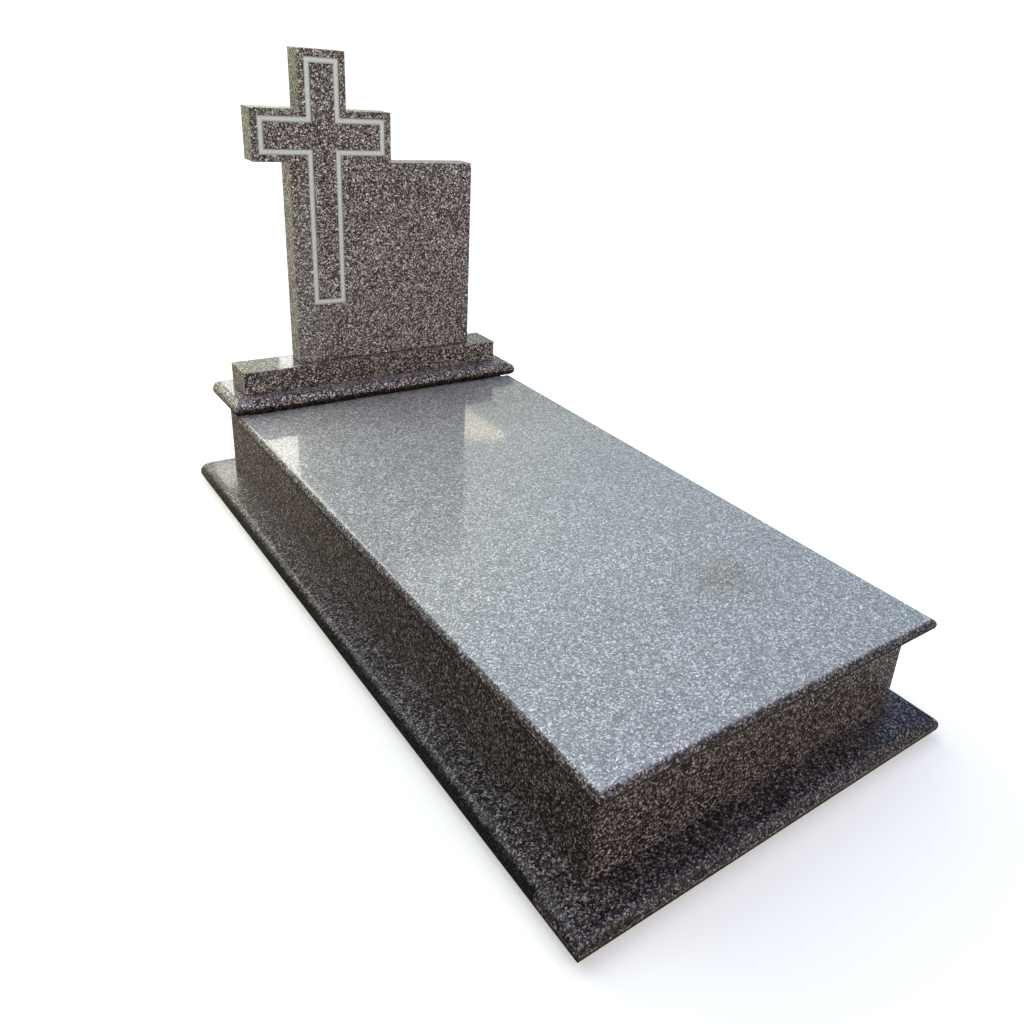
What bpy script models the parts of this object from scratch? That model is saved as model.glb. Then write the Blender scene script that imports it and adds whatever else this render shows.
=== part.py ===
"""Granite headstone with a cross, standing on its full single-grave surround.

Metres, Z up. X runs across the grave and Y along it, from the foot to the headstone.
The origin is the middle of the base's outline, at ground level. Sizes along the grave
below are distances from the foot end. The surround is open underneath, over the grave.
"""
import math

import bmesh
import bpy

# Fit between pieces
REST_GAP = 0.0003  # thin bed between two stones that lie on one another
JOINT = 0.002  # open joint between stones that meet end to end
ARRIS = 0.0015  # eased edge of a square-cut stone
ARRIS_STEPS = 2
NOSE_STEPS = 7  # flats in each quarter of a half-round edge
NOSE_FLAT = 0.0002  # what is left flat at the middle of a half-round edge
SMOOTH_ANGLE = math.radians(35)

# Base frame, four flat strips on the ground
BASE_WIDTH = 1.000
BASE_LENGTH = 2.000
BASE_THICKNESS = 0.050
BASE_STRIP = 0.130

# Kerb, four upright stones mitred at the corners
KERB_INSET_SIDE = 0.084
KERB_INSET_FRONT = 0.090
KERB_INSET_BACK = 0.080
KERB_HEIGHT = 0.220
KERB_THICKNESS = 0.040

# Ledger, the long cover slab
LEDGER_OVERHANG_SIDE = 0.037
LEDGER_OVERHANG_FRONT = 0.045
LEDGER_THICKNESS = 0.030
LEDGER_TUCK = 0.010  # how far the ledger's end runs in under the step

# Step slab under the plinth, carried by a bearer at the ledger's own level
STEP_OVERHANG_SIDE = 0.045
STEP_DEPTH = 0.208
STEP_THICKNESS = 0.042

# Plinth block
PLINTH_INSET_SIDE = 0.049
PLINTH_SETBACK = 0.060  # from the step's front to the plinth's
PLINTH_DEPTH = 0.112
PLINTH_HEIGHT = 0.066

# Headstone, one slab cut as a cross beside a square-topped panel
STONE_THICKNESS = 0.065
STONE_LEFT = -0.240
STONE_RIGHT = 0.323
SHOULDER_HEIGHT = 0.573
CROSS_X = -0.141  # centre line of the cross
CROSS_BAR = 0.132  # width of the upright
CROSS_ARM_HEIGHT = 0.136
CROSS_SPAN = 0.395
CROSS_HEAD = 0.150  # upright above the arms

# Groove that outlines the cross on the front
GROOVE_MARGIN = 0.018
GROOVE_WIDTH = 0.016
GROOVE_DEPTH = 0.0025
GROOVE_FOOT = 0.173  # its lower end, above the plinth
CUT_PAST = 0.004  # a cutter stands this far proud of the face

GREYS = {
    "base_front_strip": 0.150,
    "base_left_strip": 0.155,
    "base_right_strip": 0.155,
    "base_back_strip": 0.150,
    "kerb_front": 0.165,
    "kerb_back": 0.165,
    "kerb_left": 0.170,
    "kerb_right": 0.170,
    "ledger_slab": 0.230,
    "bearer_slab": 0.165,
    "step_slab": 0.190,
    "plinth_block": 0.180,
    "headstone": 0.200,
}
POLISH_ROUGHNESS = 0.25

# Levels and lines that follow from the sizes above
KERB_FOOT = BASE_THICKNESS + REST_GAP
KERB_TOP = KERB_FOOT + KERB_HEIGHT
LEDGER_FOOT = KERB_TOP + REST_GAP
LEDGER_TOP = LEDGER_FOOT + LEDGER_THICKNESS
STEP_FOOT = LEDGER_TOP + REST_GAP
STEP_TOP = STEP_FOOT + STEP_THICKNESS
PLINTH_FOOT = STEP_TOP + REST_GAP
PLINTH_TOP = PLINTH_FOOT + PLINTH_HEIGHT
STONE_FOOT = PLINTH_TOP + REST_GAP

KERB_HALF = BASE_WIDTH / 2 - KERB_INSET_SIDE
KERB_FRONT = KERB_INSET_FRONT
KERB_BACK = BASE_LENGTH - KERB_INSET_BACK
LEDGER_HALF = KERB_HALF + LEDGER_OVERHANG_SIDE
LEDGER_FRONT = KERB_FRONT - LEDGER_OVERHANG_FRONT
STEP_HALF = KERB_HALF + STEP_OVERHANG_SIDE
STEP_FRONT = KERB_BACK - STEP_DEPTH
LEDGER_BACK = STEP_FRONT + LEDGER_TUCK
BEARER_FRONT = LEDGER_BACK + JOINT
PLINTH_HALF = STEP_HALF - PLINTH_INSET_SIDE
PLINTH_FRONT = STEP_FRONT + PLINTH_SETBACK
STONE_MIDDLE = PLINTH_FRONT + PLINTH_DEPTH / 2

pieces = bpy.data.collections.new("granite_grave_monument")
cutters = bpy.data.collections.new("cutters")


def clear_scene():
    for obj in list(bpy.data.objects):
        bpy.data.objects.remove(obj, do_unlink=True)
    bpy.context.scene.collection.children.link(pieces)
    bpy.context.scene.collection.children.link(cutters)


def granite(name):
    """Material of one stone, a warm grey."""
    grey = GREYS[name]
    material = bpy.data.materials.new(name + "_granite")
    material.use_nodes = True
    shader = material.node_tree.nodes["Principled BSDF"]
    shader.inputs["Base Color"].default_value = (grey * 1.04, grey, grey * 0.96, 1.0)
    shader.inputs["Roughness"].default_value = POLISH_ROUGHNESS
    return material


def finish(obj):
    """Give a stone its material and smooth its rounded edges."""
    obj.data.materials.append(granite(obj.name))
    pieces.objects.link(obj)
    obj.data.shade_smooth()
    obj.data.set_sharp_from_angle(angle=SMOOTH_ANGLE)


def place(obj, x, from_foot, z):
    """Set a stone down, its Y given as the distance from the foot end."""
    obj.location = (x, from_foot - BASE_LENGTH / 2, z)


def block(name, x_range, y_range, z_range):
    """A square-cut block; its own origin is the middle of its underside."""
    size = [high - low for low, high in (x_range, y_range, z_range)]
    mesh = bpy.data.meshes.new(name)
    bm = bmesh.new()
    bmesh.ops.create_cube(bm, size=1.0)
    bmesh.ops.translate(bm, vec=(0, 0, 0.5), verts=bm.verts)
    bmesh.ops.scale(bm, vec=size, verts=bm.verts)
    bm.to_mesh(mesh)
    bm.free()
    obj = bpy.data.objects.new(name, mesh)
    place(obj, sum(x_range) / 2, sum(y_range) / 2, z_range[0])
    return obj


def ease_edges(obj):
    """A small bevel along every arris."""
    bevel = obj.modifiers.new("eased_arris", "BEVEL")
    bevel.width = ARRIS
    bevel.segments = ARRIS_STEPS
    bevel.limit_method = "ANGLE"


def round_sides(obj, thickness, sides):
    """Half-round the slab's edge on the given sides: (axis, direction) pairs."""
    bm = bmesh.new()
    bm.from_mesh(obj.data)
    weight = bm.edges.layers.float.new("bevel_weight_edge")
    for edge in bm.edges:
        a, b = (v.co for v in edge.verts)
        if a.z != b.z:
            continue
        middle = (a + b) / 2
        for axis, direction in sides:
            along_side = a[axis] == b[axis]
            if along_side and middle[axis] * direction > 0:
                edge[weight] = 1.0
    bm.to_mesh(obj.data)
    bm.free()
    bevel = obj.modifiers.new("half_round", "BEVEL")
    bevel.width = (thickness - NOSE_FLAT) / 2
    bevel.segments = NOSE_STEPS
    bevel.limit_method = "WEIGHT"


LEFT = (0, -1)
RIGHT = (0, 1)
FRONT = (1, -1)


def base_frame():
    """Front strip across the full width, side strips behind it to the back edge, back strip between."""
    half = BASE_WIDTH / 2
    side_start = BASE_STRIP + JOINT
    inner = half - BASE_STRIP
    height = (0, BASE_THICKNESS)
    front = block("base_front_strip", (-half, half), (0, BASE_STRIP), height)
    left = block("base_left_strip", (-half, -inner), (side_start, BASE_LENGTH), height)
    right = block("base_right_strip", (inner, half), (side_start, BASE_LENGTH), height)
    back = block(
        "base_back_strip",
        (-inner + JOINT, inner - JOINT),
        (BASE_LENGTH - BASE_STRIP, BASE_LENGTH),
        height,
    )
    for strip, sides in (
        (front, (FRONT, LEFT, RIGHT)),
        (left, (LEFT,)),
        (right, (RIGHT,)),
    ):
        round_sides(strip, BASE_THICKNESS, sides)
        finish(strip)
    ease_edges(back)
    finish(back)


def kerb_stone(name, start, end, inward):
    """One upright kerb stone from start to end on plan, its ends mitred towards the inward side."""
    run_axis = 0 if start[1] == end[1] else 1
    cross_axis = 1 - run_axis
    across = sorted((start[cross_axis], start[cross_axis] + inward * KERB_THICKNESS))
    along = (start[run_axis] + REST_GAP, end[run_axis] - REST_GAP)
    plan = [None, None]
    plan[run_axis] = along
    plan[cross_axis] = across
    stone = block(name, plan[0], plan[1], (KERB_FOOT, KERB_TOP))
    bm = bmesh.new()
    bm.from_mesh(stone.data)
    for vert in bm.verts:
        if vert.co[cross_axis] * inward > 0:
            vert.co[run_axis] -= math.copysign(KERB_THICKNESS, vert.co[run_axis])
    bm.to_mesh(stone.data)
    bm.free()
    finish(stone)


def kerb():
    kerb_stone("kerb_front", (-KERB_HALF, KERB_FRONT), (KERB_HALF, KERB_FRONT), 1)
    kerb_stone("kerb_back", (-KERB_HALF, KERB_BACK), (KERB_HALF, KERB_BACK), -1)
    kerb_stone("kerb_left", (-KERB_HALF, KERB_FRONT), (-KERB_HALF, KERB_BACK), 1)
    kerb_stone("kerb_right", (KERB_HALF, KERB_FRONT), (KERB_HALF, KERB_BACK), -1)


def cover():
    """Ledger, bearer behind it, step slab over both, plinth block."""
    ledger = block(
        "ledger_slab",
        (-LEDGER_HALF, LEDGER_HALF),
        (LEDGER_FRONT, LEDGER_BACK),
        (LEDGER_FOOT, LEDGER_TOP),
    )
    round_sides(ledger, LEDGER_THICKNESS, (FRONT, LEFT, RIGHT))
    finish(ledger)
    bearer = block(
        "bearer_slab",
        (-KERB_HALF, KERB_HALF),
        (BEARER_FRONT, KERB_BACK),
        (LEDGER_FOOT, LEDGER_TOP),
    )
    finish(bearer)
    step = block(
        "step_slab",
        (-STEP_HALF, STEP_HALF),
        (STEP_FRONT, KERB_BACK),
        (STEP_FOOT, STEP_TOP),
    )
    round_sides(step, STEP_THICKNESS, (FRONT, LEFT, RIGHT))
    finish(step)
    plinth = block(
        "plinth_block",
        (-PLINTH_HALF, PLINTH_HALF),
        (PLINTH_FRONT, PLINTH_FRONT + PLINTH_DEPTH),
        (PLINTH_FOOT, PLINTH_TOP),
    )
    ease_edges(plinth)
    finish(plinth)


def upright_shape(name, outline, thickness, y_front):
    """Solid with the given outline on the X-Z plane, its front face at y_front."""
    mesh = bpy.data.meshes.new(name)
    bm = bmesh.new()
    corners = [bm.verts.new((x, 0, z)) for x, z in outline]
    sides = [bm.edges.new(pair) for pair in zip(corners, corners[1:] + corners[:1])]
    face = bmesh.ops.contextual_create(bm, geom=sides)["faces"]
    grown = bmesh.ops.extrude_face_region(bm, geom=face)["geom"]
    moved = [item for item in grown if isinstance(item, bmesh.types.BMVert)]
    bmesh.ops.translate(bm, vec=(0, thickness, 0), verts=moved)
    bmesh.ops.recalc_face_normals(bm, faces=bm.faces)
    bm.to_mesh(mesh)
    bm.free()
    obj = bpy.data.objects.new(name, mesh)
    place(obj, 0, y_front, STONE_FOOT)
    return obj


def stone_outline():
    """Panel on the right, cross rising at the left with one arm free of the panel."""
    bar = CROSS_BAR / 2
    span = CROSS_SPAN / 2
    arm_top = SHOULDER_HEIGHT + CROSS_ARM_HEIGHT
    head = arm_top + CROSS_HEAD
    return [
        (STONE_LEFT, 0),
        (STONE_RIGHT, 0),
        (STONE_RIGHT, SHOULDER_HEIGHT),
        (CROSS_X + span, SHOULDER_HEIGHT),
        (CROSS_X + span, arm_top),
        (CROSS_X + bar, arm_top),
        (CROSS_X + bar, head),
        (CROSS_X - bar, head),
        (CROSS_X - bar, arm_top),
        (CROSS_X - span, arm_top),
        (CROSS_X - span, SHOULDER_HEIGHT),
        (STONE_LEFT, SHOULDER_HEIGHT),
    ]


def cross_outline(inset):
    """Outline of a full cross, drawn the inset inside the edges of the stone's cross."""
    bar = CROSS_BAR / 2 - inset
    span = CROSS_SPAN / 2 - inset
    foot = GROOVE_FOOT + inset - GROOVE_MARGIN
    arm_foot = SHOULDER_HEIGHT + inset
    arm_top = SHOULDER_HEIGHT + CROSS_ARM_HEIGHT - inset
    head = SHOULDER_HEIGHT + CROSS_ARM_HEIGHT + CROSS_HEAD - inset
    right_side = [
        (bar, foot),
        (bar, arm_foot),
        (span, arm_foot),
        (span, arm_top),
        (bar, arm_top),
        (bar, head),
    ]
    left_side = [(-x, z) for x, z in reversed(right_side)]
    return [(CROSS_X + x, z) for x, z in right_side + left_side]


def subtract(obj, cutter, name):
    cutters.objects.link(cutter)
    cutter.hide_render = True
    cutter.display_type = "WIRE"
    cut = obj.modifiers.new(name, "BOOLEAN")
    cut.operation = "DIFFERENCE"
    cut.solver = "EXACT"
    cut.object = cutter


def headstone():
    face = STONE_MIDDLE - STONE_THICKNESS / 2
    stone = upright_shape("headstone", stone_outline(), STONE_THICKNESS, face)
    ease_edges(stone)
    groove = upright_shape(
        "groove_cutter",
        cross_outline(GROOVE_MARGIN),
        CUT_PAST + GROOVE_DEPTH,
        face - CUT_PAST,
    )
    island = upright_shape(
        "groove_island",
        cross_outline(GROOVE_MARGIN + GROOVE_WIDTH),
        CUT_PAST + GROOVE_DEPTH + CUT_PAST,
        face - CUT_PAST - CUT_PAST / 2,
    )
    subtract(groove, island, "island")
    subtract(stone, groove, "cross_groove")
    finish(stone)


clear_scene()
base_frame()
kerb()
cover()
headstone()
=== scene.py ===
"""Looks of the granite grave monument: polished speckled granite, soft daylight, white studio.

Metres, Z up. X runs across the grave, Y along it towards the headstone, the ground is Z = 0.
Each stone keeps its CAD mesh and gets a granite of its own, made of procedural nodes.
"""

import math

import bpy
from mathutils import Matrix, Vector


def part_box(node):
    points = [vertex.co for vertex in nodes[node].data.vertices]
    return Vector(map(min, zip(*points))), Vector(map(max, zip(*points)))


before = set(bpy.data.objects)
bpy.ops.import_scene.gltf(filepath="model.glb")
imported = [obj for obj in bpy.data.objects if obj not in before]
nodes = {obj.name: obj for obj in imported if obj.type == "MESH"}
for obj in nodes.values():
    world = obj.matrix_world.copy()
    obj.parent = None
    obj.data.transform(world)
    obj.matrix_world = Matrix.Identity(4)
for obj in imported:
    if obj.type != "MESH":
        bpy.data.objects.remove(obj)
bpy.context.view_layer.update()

BLACK = (0.0, 0.0, 0.0)
WHITE = (1.0, 1.0, 1.0)
ZERO = (0.0, 0.0, 0.0)
MIDDLE = (0.5, 0.5, 0.5)  # mean of a noise colour

# Camera, solved from the photograph: angles in radians, focal length and centre in pixels
CAMERA_AT = (-1.1371, -1.7049, 1.3152)
CAMERA_YAW = 0.7015
CAMERA_DOWN = 0.4220
CAMERA_ROLL = 0.0960
CAMERA_REACH = 200.0
FOCAL_PIXELS = 889.41
CENTRE_PIXEL = (605.66, 458.40)
IMAGE_SIDE = 1024
SENSOR = 36.0  # millimetres

# Headstone and the groove on its front
STONE_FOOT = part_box("headstone")[0].z
STONE_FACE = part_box("headstone")[0].y
CROSS_X = -0.141
CROSS_HALF_BAR = 0.066
CROSS_HALF_SPAN = 0.1975
ARM_LOW = STONE_FOOT + 0.573
ARM_HIGH = ARM_LOW + 0.136
HEAD_TOP = ARM_HIGH + 0.150
GROOVE_FOOT = STONE_FOOT + 0.173
GROOVE_MARGIN = 0.018
GROOVE_WIDTH = 0.016
GROOVE_SKIN = 0.0004  # how far behind the polished face the frosted cut starts
GROOVE_BACK = 0.004
GROOVE_BLEED = 0.002  # how far past the groove's edge the frosting is allowed

# Tone of each stone against the mean of the granite, partly set to paint the light and shade that
# falls on each stone
TONES = {
    "base_front_strip": 0.62,
    "base_left_strip": 0.80,
    "base_right_strip": 0.70,
    "base_back_strip": 0.80,
    "kerb_front": 0.90,
    "kerb_left": 0.76,
    "kerb_right": 0.80,
    "kerb_back": 0.85,
    "ledger_slab": 1.40,
    "bearer_slab": 0.80,
    "step_slab": 1.14,
    "plinth_block": 1.12,
    "headstone": 1.52,
}

# Contrast of the crystals of each stone, and the factor that keeps its mean
CONTRAST = {
    "base_front_strip": (1.15, 1.215),
    "base_left_strip": (1.10, 1.141),
    "base_right_strip": (1.10, 1.141),
    "base_back_strip": (1.10, 1.141),
    "kerb_front": (1.25, 1.371),
    "kerb_left": (1.25, 1.371),
    "kerb_right": (1.25, 1.371),
    "kerb_back": (1.25, 1.371),
    "ledger_slab": (1.00, 1.000),
    "bearer_slab": (1.25, 1.371),
    "step_slab": (1.25, 1.371),
    "plinth_block": (1.25, 1.371),
    "headstone": (1.00, 1.000),
}

# Gloss of each stone: share of the soft sheen, and of the sharp polish over it
GLOSS = {
    "base_front_strip": (0.40, 0.20),
    "base_left_strip": (0.45, 0.25),
    "base_right_strip": (0.45, 0.25),
    "base_back_strip": (0.45, 0.25),
    "kerb_front": (0.15, 0.06),
    "kerb_left": (0.15, 0.06),
    "kerb_right": (0.35, 0.15),
    "kerb_back": (0.35, 0.15),
    "ledger_slab": (1.00, 1.00),
    "bearer_slab": (0.35, 0.15),
    "step_slab": (0.40, 0.35),
    "plinth_block": (0.40, 0.35),
    "headstone": (0.60, 0.30),
}
STONE_IOR = 1.5
FULL_SHEEN = 0.5  # specular level of a stone with all of the sheen
POLISH_ROUGHNESS = 0.06
ROUGHNESS = 0.33  # of the sheen, before smears and crystals
SMEAR_ROUGHNESS = 0.10
CRYSTAL_ROUGHNESS = 0.05
MATT_ROUGHNESS = 0.6  # more of it on grime and on sawn stone

# Crystals
GRAIN_CELLS = 300.0  # crystals per metre
FINE_CELLS = GRAIN_CELLS * 2.3
FINE_SHARE = 0.30
GRADE_RANGE = (0.10, 0.92)  # numbers that the minerals are spread over
WOBBLE = 0.004  # how far the edges of the crystals wander
OWN_SHIFT = (3.1, 1.7, 2.3)  # from one stone's crystals to those of the next
RELIEF_HEIGHT = 0.0002
RELIEF_STRENGTH = 0.05
CELL_DOME = -0.4  # how a crystal falls off towards its edge
# Minerals from dark mica through quartz to pale feldspar, by share of the surface
MINERALS = [
    (0.00, (0.004, 0.003, 0.003)),
    (0.12, (0.010, 0.006, 0.006)),
    (0.27, (0.029, 0.020, 0.019)),
    (0.42, (0.060, 0.046, 0.044)),
    (0.55, (0.105, 0.089, 0.085)),
    (0.70, (0.190, 0.170, 0.162)),
    (0.85, (0.375, 0.352, 0.340)),
    (1.00, (0.800, 0.785, 0.770)),
]
# Some quartz is cooler, some feldspar is warmer
TINTS = [
    (0.0, (0.93, 0.97, 1.04)),
    (0.5, WHITE),
    (1.0, (1.10, 1.00, 0.90)),
]
# Slow clouds in the tone
CLOUD_RANGE = (0.3, 0.7)
CLOUD_DARK = 0.90
CLOUD_LIGHT = 1.10

# Painted shade where a rounded edge turns under, by the Z of the face's direction
UNDER_RANGE = (-0.14, -0.02)
UNDERSIDE_SHADE_TONE = 0.14
# Hidden backs are sawn smooth, not polished, by the Y of the face's direction
SAWN_RANGE = (0.30, 0.80)
SAWN_POLISH = 0.12

# Thin pale film on the polished top of the ledger, partly a painted sheen
FILM_AND_SHEEN = (0.212, 0.238, 0.200)
TOP_RANGE = (0.80, 0.995)  # Z of the face's direction, from the rounded edge to the flat top
# the flat top is painted lighter and the rounded edge darker: painted light and shade
TOP_LIGHT_GAMMA = 0.80
TOP_LIGHT_TONE = 0.85
EDGE_SHADE_TONE = 0.62
EDGE_POLISH = 0.25
FILM_SHEEN_NOISE_RANGE = (0.30, 0.70)
FILM_SHEEN_THIN = 0.20
FILM_SHEEN_THICK = 1.80
THINNER_FILM_SHEEN_RANGE = (0.35, 0.75)  # along the grave: the film and its painted sheen thin towards the headstone
THINNER_FILM_SHEEN_SLANT = 0.30  # and a little sooner on the right
THINNER_FILM_SHEEN = 0.45

# Faint stain on the ledger: middle, half sizes, ragged edge and colours from its middle out
STAIN_AT = (0.16, -0.60, 0.30)
STAIN_HALF = (0.13, 0.10, 1.0)
STAIN_RAGGED = 0.09
STAIN = [
    (0.00, (0.80, 0.73, 0.64)),
    (0.35, (0.86, 0.81, 0.74)),
    (0.65, (0.95, 0.93, 0.89)),
    (1.00, WHITE),
]

# Darker along the foot of the base, below an uneven height
FOOT_DARK_UNEVEN = 0.008
FOOT_DARK_RANGE = (0.021, 0.031)  # heights
FOOT_DARK_TONE = 0.12

# Darker on the outer edge of the left strip, and painted light towards the head end
EDGE_DARK = (0.004, 0.004, 0.005, 1.0)
EDGE_DARK_COVER = 0.90
EDGE_DARK_UNEVEN = 0.010
EDGE_DARK_HEIGHTS = (0.056, 0.044)  # from none to full darkening
EDGE_DARK_ALONG = (1.55, 0.65)  # from none to full darkening along the grave
EDGE_DARK_X = -0.476
EDGE_DARK_ROUGHNESS = 0.45
EDGE_DARK_COVERS_POLISH = 0.80
HEAD_END_LIGHT = (0.036, 0.032, 0.028)
HEAD_END_LIGHT_ALONG = (0.00, 0.75)

# Painted shade in the open gap where the left kerb has lost its bedding at the head end
GAP_SHADE = (0.006, 0.005, 0.005, 1.0)
GAP_ALONG = (0.86, 0.92)
GAP_HEIGHTS = (0.0, 0.0565)
GAP_ALONG_SOFT = 0.004
GAP_HEIGHT_SOFT = 0.0008

# Paler beside the left edge of the headstone, below the arm of the cross
EDGE_PALE = (0.036, 0.040, 0.042)
EDGE_PALE_X = (-0.150, -0.205)
EDGE_PALE_HEIGHTS = (ARM_LOW + 0.02, ARM_LOW - 0.16)

# Frosted stone in the groove, from its middle line to its edges, with fine specks
FROST = [
    (0.00, (0.90, 0.93, 0.92)),
    (0.45, (0.84, 0.87, 0.86)),
    (0.95, (0.46, 0.47, 0.46)),
]
FROST_SPECKS = [
    (0.30, (0.78, 0.78, 0.78)),
    (0.60, WHITE),
]
GRANITE_IN_FROST = 0.06
FROST_ROUGHNESS = 0.6

# Soft light: lobes of (azimuth, elevation, colour); azimuth 0 is +Y, 90 is +X
LOBE_TIGHTNESS = 8.0
LOBES = [
    (90, -60, (2.37, 1.75, 1.37)),
    (270, -60, (0.82, 0.61, 0.71)),
    (90, -15, (0.00, 0.59, 0.98)),
    (0, 15, (1.87, 1.95, 1.11)),
    (180, 15, (0.77, 0.67, 0.71)),
    (22.5, 42, (0.03, 0.00, 0.15)),
    (67.5, 42, (0.20, 0.37, 0.52)),
    (157.5, 42, (1.68, 1.46, 1.17)),
    (337.5, 42, (1.81, 1.97, 1.87)),
    (0, 76, (0.00, 0.08, 0.73)),
    (120, 76, (0.00, 0.00, 0.44)),
]
BACKDROP = 1.05  # white that the camera sees past the floor
# Soft boxes: name, place, side, aim, watts, colour
SOFT_BOXES = [
    ("over_the_head", (-0.1, -0.2, 1.9), 1.2, (0.0, 0.78, 0.75), 5.3, (0.83, 1.0, 0.85)),
    ("left_of_the_head", (-1.4, 1.0, 0.5), 0.8, (-0.42, 0.70, 0.15), 7.8, (1.0, 0.86, 0.74)),
]
# White walls that the polished tops mirror: corners (x, z) on the plane y = CARD_Y,
# colour, strength
CARD_Y = 4.0
CARDS = {
    "wall_right": (
        [(1.970, 1.853), (2.199, 1.892), (2.573, 2.176), (2.576, 2.240), (1.973, 2.123)],
        (1.0, 0.86, 0.62), 2.6,
    ),
    "wall_left": (
        [(0.592, 1.811), (0.877, 1.865), (0.858, 2.203), (0.568, 2.137)],
        (1.0, 0.92, 0.80), 3.4,
    ),
    "wall_on_plinth": (
        [(0.767, 1.490), (0.869, 1.483), (0.870, 1.585), (0.769, 1.588)],
        (1.0, 0.97, 0.97), 10.5,
    ),
    "wall_on_step": (
        [(0.300, 1.470), (0.480, 1.470), (0.480, 1.660), (0.300, 1.660)],
        (1.0, 0.95, 0.88), 10.0,
    ),
}

# Floor: a painted shadow makes it a little darker close to the base
FLOOR_HALF = 30.0
FLOOR_Z = -0.001
FLOOR_COLOUR = (0.76, 0.78, 0.67, 1.0)
FLOOR_ROUGHNESS = 0.9
PAINTED_SHADOW_REACH = (-0.01, 0.035)  # distance from the base frame's outline
FLOOR_GLOW = (0.38, 0.51)
BASE_HALF = (0.5, 1.0, 0.0)


class Tree:
    """Short calls for building a node tree."""

    def __init__(self, tree):
        self.tree = tree

    def add(self, kind, **settings):
        made = self.tree.nodes.new(kind)
        for key, value in settings.items():
            setattr(made, key, value)
        return made

    def feed(self, socket, value):
        if isinstance(value, bpy.types.NodeSocket):
            self.tree.links.new(value, socket)
        else:
            socket.default_value = value

    def math(self, operation, a, b=0.0, c=None, clamp=False):
        made = self.add("ShaderNodeMath", operation=operation, use_clamp=clamp)
        self.feed(made.inputs[0], a)
        self.feed(made.inputs[1], b)
        if c is not None:
            self.feed(made.inputs[2], c)
        return made.outputs[0]

    def least(self, *values):
        """The smallest of several values."""
        lowest = values[0]
        for value in values[1:]:
            lowest = self.math("MINIMUM", lowest, value)
        return lowest

    def vector(self, operation, a, b=ZERO):
        made = self.add("ShaderNodeVectorMath", operation=operation)
        self.feed(made.inputs[0], a)
        self.feed(made.inputs[1], b)
        number = operation in ("DOT_PRODUCT", "LENGTH")
        return made.outputs["Value" if number else "Vector"]

    def scaled(self, a, factor):
        made = self.add("ShaderNodeVectorMath", operation="SCALE")
        self.feed(made.inputs[0], a)
        self.feed(made.inputs["Scale"], factor)
        return made.outputs["Vector"]

    def axes(self, where):
        """X, Y and Z of a vector."""
        made = self.add("ShaderNodeSeparateXYZ")
        self.feed(made.inputs[0], where)
        return made.outputs

    def channels(self, colour):
        """Red, green and blue of a colour."""
        made = self.add("ShaderNodeSeparateColor")
        self.feed(made.inputs[0], colour)
        return made.outputs

    def facing(self):
        """X, Y and Z of the direction that the surface faces."""
        return self.axes(self.add("ShaderNodeNewGeometry").outputs["Normal"])

    def mix(self, factor, a, b, blend="MIX"):
        made = self.add("ShaderNodeMix", data_type="RGBA", blend_type=blend)
        self.feed(made.inputs["Factor"], factor)
        self.feed(made.inputs[6], a)
        self.feed(made.inputs[7], b)
        return made.outputs[2]

    def gamma(self, colour, power):
        made = self.add("ShaderNodeGamma")
        self.feed(made.inputs["Color"], colour)
        made.inputs["Gamma"].default_value = power
        return made.outputs[0]

    def noise(self, where, scale, detail=2.0, rough=0.5):
        made = self.add("ShaderNodeTexNoise")
        self.feed(made.inputs["Vector"], where)
        made.inputs["Scale"].default_value = scale
        made.inputs["Detail"].default_value = detail
        made.inputs["Roughness"].default_value = rough
        return made.outputs

    def cells(self, where, scale):
        made = self.add("ShaderNodeTexVoronoi", feature="F1")
        self.feed(made.inputs["Vector"], where)
        made.inputs["Scale"].default_value = scale
        return made.outputs

    def ramp(self, value, stops):
        made = self.add("ShaderNodeValToRGB")
        self.feed(made.inputs["Fac"], value)
        ramp = made.color_ramp
        while len(ramp.elements) < len(stops):
            ramp.elements.new(0.5)
        for element, (position, colour) in zip(ramp.elements, stops):
            element.position = position
            element.color = (*colour, 1.0)
        return made.outputs["Color"]

    def slope(self, value, between, start=0.0, end=1.0, smooth=True):
        """From start to end while the value runs between two numbers, level outside them."""
        made = self.add("ShaderNodeMapRange", clamp=True)
        made.interpolation_type = "SMOOTHSTEP" if smooth else "LINEAR"
        self.feed(made.inputs["Value"], value)
        made.inputs["From Min"].default_value, made.inputs["From Max"].default_value = between
        made.inputs["To Min"].default_value = start
        made.inputs["To Max"].default_value = end
        return made.outputs[0]

    def span(self, value, between, soft=0.0):
        """1 between two numbers, 0 outside, over a soft edge."""
        low, high = between
        edge = max(soft, 1e-6)
        up = self.slope(value, (low - soft, low + edge), smooth=False)
        down = self.slope(value, (high + soft, high - edge), smooth=False)
        return self.math("MULTIPLY", up, down)


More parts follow.
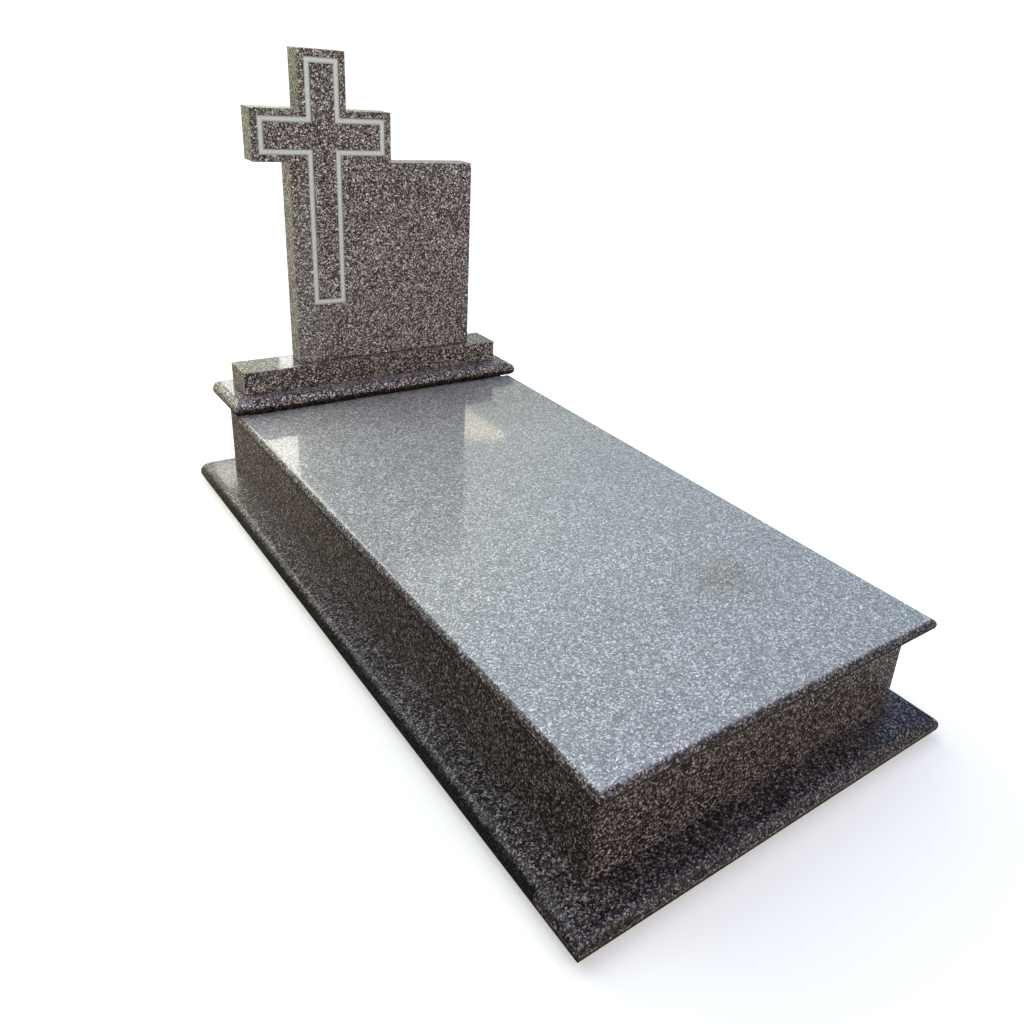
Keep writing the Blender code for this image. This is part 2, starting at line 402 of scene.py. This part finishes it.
def granite(name, index):
    """Polished granite of one stone: its own crystals, tone, gloss and slight relief."""
    material = bpy.data.materials.new(name + "_granite")
    material.use_nodes = True
    t = Tree(material.node_tree)
    shader = material.node_tree.nodes["Principled BSDF"]
    place = t.add("ShaderNodeTexCoord").outputs["Object"]
    own = t.vector("ADD", place, [part * index for part in OWN_SHIFT])
    wobble = t.noise(own, scale=200.0, detail=2.0)["Color"]
    bent = t.vector("ADD", own, t.scaled(t.vector("SUBTRACT", wobble, MIDDLE), WOBBLE))
    crystals = t.cells(bent, GRAIN_CELLS)
    pick = t.channels(crystals["Color"])
    fine_pick = t.channels(t.cells(bent, FINE_CELLS)["Color"])
    coarse = t.math("MULTIPLY", pick[0], 1.0 - FINE_SHARE)
    blend = t.math("MULTIPLY_ADD", fine_pick[0], FINE_SHARE, coarse)
    colour = t.ramp(t.slope(blend, GRADE_RANGE, smooth=False), MINERALS)
    colour = t.mix(1.0, colour, t.ramp(pick[1], TINTS), "MULTIPLY")
    power, level = CONTRAST[name]
    colour = t.scaled(t.gamma(colour, power), level)
    cloud = t.noise(own, scale=5.0, detail=3.0, rough=0.55)["Fac"]
    dark, light = CLOUD_DARK * TONES[name], CLOUD_LIGHT * TONES[name]
    colour = t.scaled(colour, t.slope(cloud, CLOUD_RANGE, dark, light, smooth=False))
    smear = t.noise(own, scale=9.0, detail=4.0, rough=0.6)["Fac"]
    rough = t.math("MULTIPLY_ADD", smear, SMEAR_ROUGHNESS, ROUGHNESS)
    rough = t.math("MULTIPLY_ADD", fine_pick[1], CRYSTAL_ROUGHNESS, rough)
    relief = t.add("ShaderNodeBump")
    relief.inputs["Strength"].default_value = RELIEF_STRENGTH
    relief.inputs["Distance"].default_value = RELIEF_HEIGHT
    height = t.math("MULTIPLY_ADD", crystals["Distance"], CELL_DOME, pick[2])
    t.feed(relief.inputs["Height"], height)

    # what only some of the stones have; clear is the share of the polish that is left
    colour, clear = shaded_underside(t, colour)
    if name == "ledger_slab":
        colour, clear = film_and_sheen_top(t, place, colour, clear)
    if name.startswith("base_"):
        colour = dark_foot_band(t, place, colour)
    if name == "base_left_strip":
        colour, rough, clear = darker_edge_lighter_head(t, place, colour, rough, clear)
    if name == "kerb_left":
        colour = painted_gap_shade(t, place, colour)
    if name == "headstone":
        colour = paler_left_edge(t, place, colour)
        colour, rough = frosted_groove(t, place, bent, colour, rough)

    # undersides painted in shade, darkened patches and sawn stone are matt
    matt = t.math("MULTIPLY_ADD", clear, -MATT_ROUGHNESS, MATT_ROUGHNESS)
    rough = t.math("ADD", rough, matt, clamp=True)
    sheen, polish = GLOSS[name]
    t.feed(shader.inputs["Base Color"], colour)
    t.feed(shader.inputs["Roughness"], rough)
    t.feed(shader.inputs["Normal"], relief.outputs["Normal"])
    shader.inputs["IOR"].default_value = STONE_IOR
    shader.inputs["Specular IOR Level"].default_value = FULL_SHEEN * sheen
    t.feed(shader.inputs["Coat Weight"], t.math("MULTIPLY", clear, polish))
    shader.inputs["Coat Roughness"].default_value = POLISH_ROUGHNESS
    shader.inputs["Coat IOR"].default_value = STONE_IOR
    return material


def shaded_underside(t, colour):
    """Painted shade where a rounded edge turns under; also gives the share of the polish that is
    left.
    """
    facing = t.facing()
    clear = t.slope(facing["Z"], UNDER_RANGE)
    # painted shade: the colour is darkened where the face turns under
    keep = t.math("MULTIPLY_ADD", clear, 1.0 - UNDERSIDE_SHADE_TONE, UNDERSIDE_SHADE_TONE)
    sawn = t.slope(facing["Y"], SAWN_RANGE, 1.0, SAWN_POLISH)
    return t.scaled(colour, keep), t.math("MULTIPLY", clear, sawn)


def film_and_sheen_top(t, place, colour, clear):
    """A thin film, partly a painted sheen, where the ledger faces up, with one faint brown stain,
    and a duller edge; the flat top is painted lighter and the rounded edge darker.
    """
    top = t.slope(t.facing()["Z"], TOP_RANGE)
    # painted shade on the rounded edge, painted light on the flat top
    shaded_edge_colour = t.scaled(colour, EDGE_SHADE_TONE)
    colour = t.mix(top, shaded_edge_colour, t.scaled(t.gamma(colour, TOP_LIGHT_GAMMA), TOP_LIGHT_TONE))
    # pale film, partly a painted sheen, where the ledger faces up
    film_sheen = t.noise(place, scale=420.0, detail=2.0, rough=0.7)["Fac"]
    amount = t.slope(film_sheen, FILM_SHEEN_NOISE_RANGE, FILM_SHEEN_THIN, FILM_SHEEN_THICK, smooth=False)
    axes = t.axes(place)
    aslant = t.math("MULTIPLY_ADD", axes["X"], THINNER_FILM_SHEEN_SLANT, axes["Y"])
    thinner = t.slope(aslant, THINNER_FILM_SHEEN_RANGE, 1.0, THINNER_FILM_SHEEN)
    amount = t.math("MULTIPLY", t.math("MULTIPLY", top, amount), thinner)
    colour = t.vector("ADD", colour, t.scaled(FILM_AND_SHEEN, amount))
    ragged = t.noise(place, scale=16.0, detail=4.0, rough=0.6)["Color"]
    push = t.scaled(t.vector("SUBTRACT", ragged, MIDDLE), STAIN_RAGGED)
    off = t.vector("ADD", t.vector("SUBTRACT", place, STAIN_AT), push)
    reach = t.vector("LENGTH", t.vector("DIVIDE", off, STAIN_HALF))
    colour = t.vector("MULTIPLY", colour, t.ramp(reach, STAIN))
    left = t.math("MULTIPLY_ADD", top, 1.0 - EDGE_POLISH, EDGE_POLISH)
    return colour, t.math("MULTIPLY", clear, left)


def dark_foot_band(t, place, colour):
    """Darker along the foot of the base, below an uneven height."""
    uneven = t.noise(place, scale=45.0, detail=3.0, rough=0.6)["Fac"]
    level = t.math("MULTIPLY_ADD", uneven, FOOT_DARK_UNEVEN, t.axes(place)["Z"])
    # the colour is darkened below an uneven height
    return t.scaled(colour, t.slope(level, FOOT_DARK_RANGE, FOOT_DARK_TONE))


def darker_edge_lighter_head(t, place, colour, rough, clear):
    """Darker on the outer edge of the left strip towards the foot end; lighter towards the head
    end, as painted light.
    """
    axes = t.axes(place)
    uneven = t.noise(place, scale=30.0, detail=3.0, rough=0.6)["Fac"]
    level = t.math("MULTIPLY_ADD", uneven, EDGE_DARK_UNEVEN, axes["Z"])
    # darker on the outer edge, lower down and towards the foot end
    darkened = t.math("MULTIPLY", t.slope(level, EDGE_DARK_HEIGHTS), t.slope(axes["Y"], EDGE_DARK_ALONG))
    darkened = t.math("MULTIPLY", darkened, t.math("LESS_THAN", axes["X"], EDGE_DARK_X))
    colour = t.mix(t.math("MULTIPLY", darkened, EDGE_DARK_COVER), colour, EDGE_DARK)
    rough = t.math("MULTIPLY_ADD", darkened, EDGE_DARK_ROUGHNESS, rough, clamp=True)
    undarkened = t.math("MULTIPLY_ADD", darkened, -EDGE_DARK_COVERS_POLISH, 1.0)
    # painted light: the strip is lightened towards the head end
    head_light = t.math("MULTIPLY", t.slope(axes["Y"], HEAD_END_LIGHT_ALONG), undarkened)
    colour = t.vector("ADD", colour, t.scaled(HEAD_END_LIGHT, head_light))
    return colour, rough, t.math("MULTIPLY", clear, undarkened)


def painted_gap_shade(t, place, colour):
    """Painted shade in the open gap where the left kerb has lost its bedding at the head end."""
    axes = t.axes(place)
    along = t.span(axes["Y"], GAP_ALONG, GAP_ALONG_SOFT)
    low = t.span(axes["Z"], GAP_HEIGHTS, GAP_HEIGHT_SOFT)
    # painted shade: a near-black band where the gap would be
    return t.mix(t.math("MULTIPLY", along, low), colour, GAP_SHADE)


def paler_left_edge(t, place, colour):
    """Paler beside the left edge of the headstone, below the arm of the cross."""
    axes = t.axes(place)
    beside = t.slope(axes["X"], EDGE_PALE_X)
    below = t.slope(axes["Z"], EDGE_PALE_HEIGHTS)
    return t.vector("ADD", colour, t.scaled(EDGE_PALE, t.math("MULTIPLY", beside, below)))


def frosted_groove(t, place, bent, colour, rough):
    """Pale matt stone inside the cut outline of the cross."""
    axes = t.axes(place)
    height = axes["Z"]
    aside = t.math("ABSOLUTE", t.math("SUBTRACT", axes["X"], CROSS_X))
    # distance in from the outline of the cross, from its nearest edge
    in_stem = t.least(
        t.math("SUBTRACT", CROSS_HALF_BAR, aside),
        t.math("SUBTRACT", height, GROOVE_FOOT - GROOVE_MARGIN),
        t.math("SUBTRACT", HEAD_TOP, height),
    )
    in_arms = t.least(
        t.math("SUBTRACT", CROSS_HALF_SPAN, aside),
        t.math("SUBTRACT", height, ARM_LOW),
        t.math("SUBTRACT", ARM_HIGH, height),
    )
    inside = t.math("MAXIMUM", in_stem, in_arms)
    depth = t.span(axes["Y"], (STONE_FACE + GROOVE_SKIN, STONE_FACE + GROOVE_BACK))
    past_edge = t.math("GREATER_THAN", inside, GROOVE_MARGIN - GROOVE_BLEED)
    cut = t.math("MULTIPLY", past_edge, depth)
    off_middle = t.math("SUBTRACT", inside, GROOVE_MARGIN + GROOVE_WIDTH / 2)
    across = t.math("DIVIDE", t.math("ABSOLUTE", off_middle), GROOVE_WIDTH / 2)
    specks = t.ramp(t.noise(bent, scale=320.0, detail=2.0)["Fac"], FROST_SPECKS)
    frosted = t.vector("MULTIPLY", t.ramp(across, FROST), specks)
    colour = t.mix(cut, colour, t.mix(GRANITE_IN_FROST, frosted, colour))
    return colour, t.math("MULTIPLY_ADD", cut, FROST_ROUGHNESS, rough, clamp=True)


def direction(azimuth, elevation):
    a, e = math.radians(azimuth), math.radians(elevation)
    return (math.sin(a) * math.cos(e), math.cos(a) * math.cos(e), math.sin(e))


def studio_floor():
    """A white floor that the camera sees, but that the stones don't mirror, with a painted shadow
    close to the base.
    """
    mesh = bpy.data.meshes.new("studio_floor")
    half = FLOOR_HALF
    corners = [(-half, -half, 0), (half, -half, 0), (half, half, 0), (-half, half, 0)]
    mesh.from_pydata(corners, [], [(0, 1, 2, 3)])
    floor = bpy.data.objects.new("studio_floor", mesh)
    floor.location.z = FLOOR_Z
    bpy.context.scene.collection.objects.link(floor)
    material = bpy.data.materials.new("floor_white")
    material.use_nodes = True
    t = Tree(material.node_tree)
    place = t.add("ShaderNodeTexCoord").outputs["Object"]
    shader = material.node_tree.nodes["Principled BSDF"]
    shader.inputs["Base Color"].default_value = FLOOR_COLOUR
    shader.inputs["Roughness"].default_value = FLOOR_ROUGHNESS
    shader.inputs["Specular IOR Level"].default_value = 0.0
    shader.inputs["Emission Color"].default_value = (*WHITE, 1.0)
    beyond = t.vector("SUBTRACT", t.vector("ABSOLUTE", place), BASE_HALF)
    reach = t.vector("LENGTH", t.vector("MAXIMUM", beyond, ZERO))
    # painted shadow: the floor glows less close to the base
    t.feed(shader.inputs["Emission Strength"], t.slope(reach, PAINTED_SHADOW_REACH, *FLOOR_GLOW))
    mesh.materials.append(material)
    floor.visible_glossy = False
    floor.visible_diffuse = False
    floor.visible_shadow = False


def mirrored_walls():
    """Bright cards behind the headstone, seen in the polish only."""
    for name, (corners, colour, strength) in CARDS.items():
        mesh = bpy.data.meshes.new(name)
        points = [(x, CARD_Y, z) for x, z in corners]
        mesh.from_pydata(points, [], [tuple(range(len(points)))])
        card = bpy.data.objects.new(name, mesh)
        bpy.context.scene.collection.objects.link(card)
        material = bpy.data.materials.new(name + "_light")
        material.use_nodes = True
        shader = material.node_tree.nodes["Principled BSDF"]
        shader.inputs["Base Color"].default_value = (*BLACK, 1.0)
        shader.inputs["Specular IOR Level"].default_value = 0.0
        shader.inputs["Emission Color"].default_value = (*colour, 1.0)
        shader.inputs["Emission Strength"].default_value = strength
        mesh.materials.append(material)
        card.visible_camera = False
        card.visible_diffuse = False
        card.visible_shadow = False


def soft_world():
    """White where the camera looks past the floor, soft lobes of light for the stone."""
    world = bpy.data.worlds.new("soft_daylight")
    bpy.context.scene.world = world
    world.use_nodes = True
    tree = world.node_tree
    tree.nodes.clear()
    t = Tree(tree)
    out = t.add("ShaderNodeOutputWorld")
    toward = t.vector("NORMALIZE", t.add("ShaderNodeTexCoord").outputs["Generated"])
    total = BLACK
    for azimuth, elevation, colour in LOBES:
        along = t.vector("DOT_PRODUCT", toward, direction(azimuth, elevation))
        narrow = t.math("MULTIPLY_ADD", along, LOBE_TIGHTNESS, -LOBE_TIGHTNESS)
        total = t.vector("ADD", t.scaled(colour, t.math("EXPONENT", narrow)), total)
    light = t.add("ShaderNodeBackground")
    t.feed(light.inputs["Color"], total)
    white = t.add("ShaderNodeBackground")
    white.inputs["Color"].default_value = (*WHITE, 1.0)
    white.inputs["Strength"].default_value = BACKDROP
    pick = t.add("ShaderNodeMixShader")
    t.feed(pick.inputs[0], t.add("ShaderNodeLightPath").outputs["Is Camera Ray"])
    t.feed(pick.inputs[1], light.outputs[0])
    t.feed(pick.inputs[2], white.outputs[0])
    t.feed(out.inputs["Surface"], pick.outputs[0])


def soft_boxes():
    """Two soft lamps near the headstone, not mirrored in the polish."""
    for name, place, side, aim, watts, colour in SOFT_BOXES:
        data = bpy.data.lights.new(name, "AREA")
        data.energy = watts
        data.size = side
        data.color = colour
        box = bpy.data.objects.new(name, data)
        box.location = place
        toward = Vector(aim) - Vector(place)
        box.rotation_euler = toward.to_track_quat("-Z", "Y").to_euler()
        box.visible_camera = False
        box.visible_glossy = False
        bpy.context.scene.collection.objects.link(box)


def photo_camera():
    """The photograph's camera, with its picture centre moved by lens shift."""
    yaw, down, roll = CAMERA_YAW, CAMERA_DOWN, CAMERA_ROLL
    ahead = Vector((
        math.sin(yaw) * math.cos(down),
        math.cos(yaw) * math.cos(down),
        -math.sin(down),
    ))
    level = Vector((math.cos(yaw), -math.sin(yaw), 0.0))
    upright = level.cross(ahead)
    right = math.cos(roll) * level + math.sin(roll) * upright
    up = -math.sin(roll) * level + math.cos(roll) * upright
    data = bpy.data.cameras.new("photo_camera")
    data.sensor_fit = "HORIZONTAL"
    data.sensor_width = SENSOR
    data.lens = FOCAL_PIXELS / IMAGE_SIDE * SENSOR
    data.shift_x = (IMAGE_SIDE / 2 - CENTRE_PIXEL[0]) / IMAGE_SIDE
    data.shift_y = (CENTRE_PIXEL[1] - IMAGE_SIDE / 2) / IMAGE_SIDE
    data.clip_end = CAMERA_REACH
    camera = bpy.data.objects.new("photo_camera", data)
    turn = Matrix((right, up, -ahead)).transposed().to_4x4()
    camera.matrix_world = Matrix.Translation(CAMERA_AT) @ turn
    bpy.context.scene.collection.objects.link(camera)
    bpy.context.scene.camera = camera


for index, name in enumerate(sorted(nodes), start=1):
    stone = nodes[name]
    stone.data.materials.clear()
    stone.data.materials.append(granite(name, index))

studio_floor()
mirrored_walls()
soft_world()
soft_boxes()
photo_camera()
bpy.context.scene.view_settings.view_transform = "Standard"
